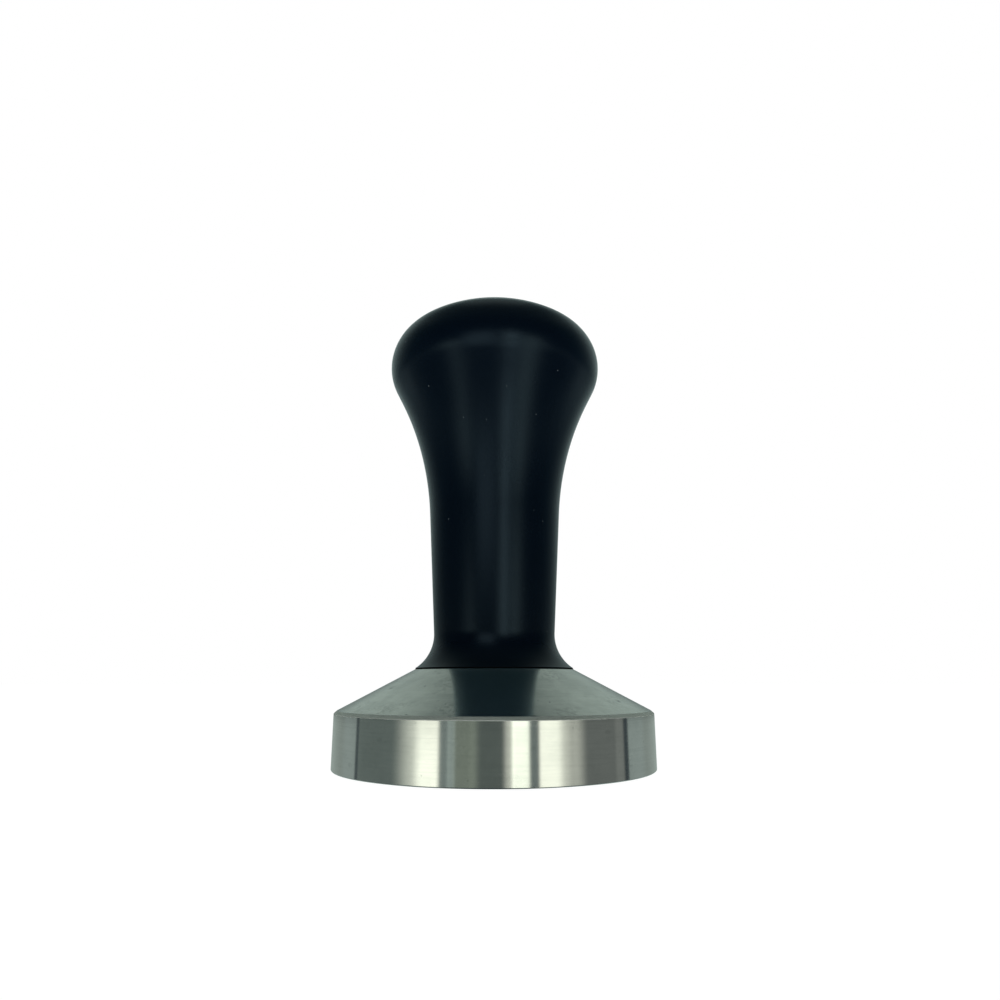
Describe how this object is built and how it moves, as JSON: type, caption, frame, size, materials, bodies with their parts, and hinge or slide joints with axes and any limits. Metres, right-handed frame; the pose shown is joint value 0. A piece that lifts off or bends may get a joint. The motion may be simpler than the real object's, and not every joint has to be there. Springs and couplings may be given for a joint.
{
  "type": "espresso tamper",
  "caption": "Hand tamper for ground coffee: a flat steel tamping base with a tapered top, and a waisted black handle with a domed knob that unscrews from it.",
  "frame": {"origin": "centre of the flat tamping face, on the surface that the tamper stands on", "axes": "+Z is the tamper's axis, from the tamping face up to the knob; +X and +Y are any two directions across it, because the outside is a solid of revolution"},
  "size_m": [0.058, 0.058, 0.09],
  "materials": {
    "base_steel": "satin",
    "stud_steel": "satin",
    "insert_brass": "satin",
    "seal_rubber": "matte",
    "handle_black": "matte"
  },
  "bodies": {
    "base": {"tamping_base": "base_steel", "threaded_stud": "stud_steel"},
    "seal": {"seal_ring": "seal_rubber"},
    "grip": {"handle": "handle_black", "thread_insert": "insert_brass"}
  },
  "joints": [
    {"name": "handle_lift", "type": "slide", "parent": "base", "child": "seal", "axis": [0, 0, 1], "range_m": [0, 0.012]},
    {"name": "handle_turn", "type": "hinge", "parent": "seal", "child": "grip", "pos_m": [0, 0, 0.0171], "axis": [0, 0, 1], "range_deg": [0, 2880]}
  ],
  "couplings": [
    {"joint": "handle_turn", "follows": "handle_lift", "rad_per_m": 4188.8}
  ]
}
